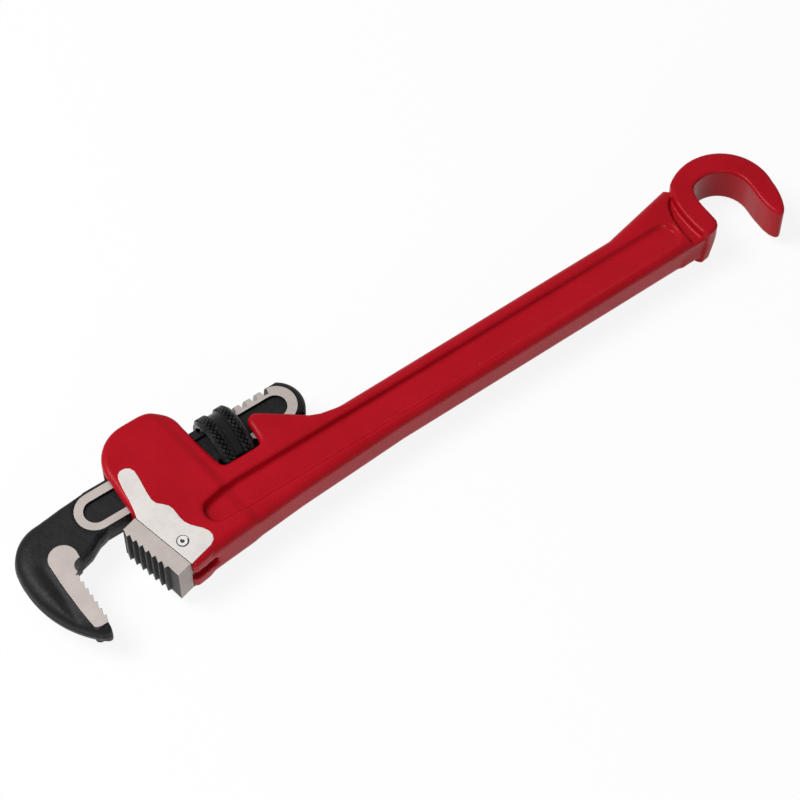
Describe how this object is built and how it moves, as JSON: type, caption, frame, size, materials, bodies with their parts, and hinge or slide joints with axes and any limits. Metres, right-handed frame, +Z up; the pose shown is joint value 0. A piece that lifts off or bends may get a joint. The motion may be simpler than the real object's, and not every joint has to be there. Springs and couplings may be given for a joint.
{
  "type": "fire hydrant wrench",
  "caption": "Adjustable fire hydrant wrench: a pipe wrench head with a sliding hook jaw, knurled nut and pinned heel jaw on a cast handle that ends in a spanner hook.",
  "frame": {"origin": "middle of the tool's outline seen from the side, at the level of the nut's lowest point, with the tool lying on its side", "axes": "+X along the handle from the jaws towards the spanner hook, +Y out of the back of the housing, away from the open side of the jaws, +Z up through the tool's thickness"},
  "size_m": [0.2874, 0.0588, 0.0236],
  "materials": {
    "enamel": "glossy enamel over a cast surface, milled pads left bare",
    "black_forging": "black oxide over a forged surface, teeth and flats left bare",
    "bare_steel": "ground, bare",
    "pin_steel": "bare",
    "black_nut": "black oxide, knurled",
    "spring_steel": "oiled spring steel"
  },
  "bodies": {
    "handle": {"handle_casting": "enamel", "heel_jaw": "bare_steel", "heel_jaw_pin": "pin_steel", "coil_spring": "spring_steel"},
    "floating_guide": {"flat_spring": "spring_steel", "spring_stud": "spring_steel"},
    "jaw": {"hook_jaw": "black_forging"},
    "nut": {"adjusting_nut": "black_nut"}
  },
  "joints": [
    {"name": "jaw_rock", "type": "hinge", "parent": "handle", "child": "floating_guide", "pos_m": [-0.0622, 0.00825, 0.0118], "axis": [0, 0, -1], "range_deg": [0, 2], "stiffness_Nm_per_rad": 2, "deforming": ["coil_spring"]},
    {"name": "jaw_slide", "type": "slide", "parent": "floating_guide", "child": "jaw", "axis": [1, 0, 0], "range_m": [-0.016, 0.0085]},
    {"name": "nut_spin", "type": "hinge", "parent": "floating_guide", "child": "nut", "pos_m": [-0.0622, 0.00825, 0.0118], "axis": [1, 0, 0], "range_deg": [-750, 1400]}
  ],
  "couplings": [
    {"joint": "nut_spin", "follows": "jaw_slide", "rad_per_m": -1496}
  ]
}
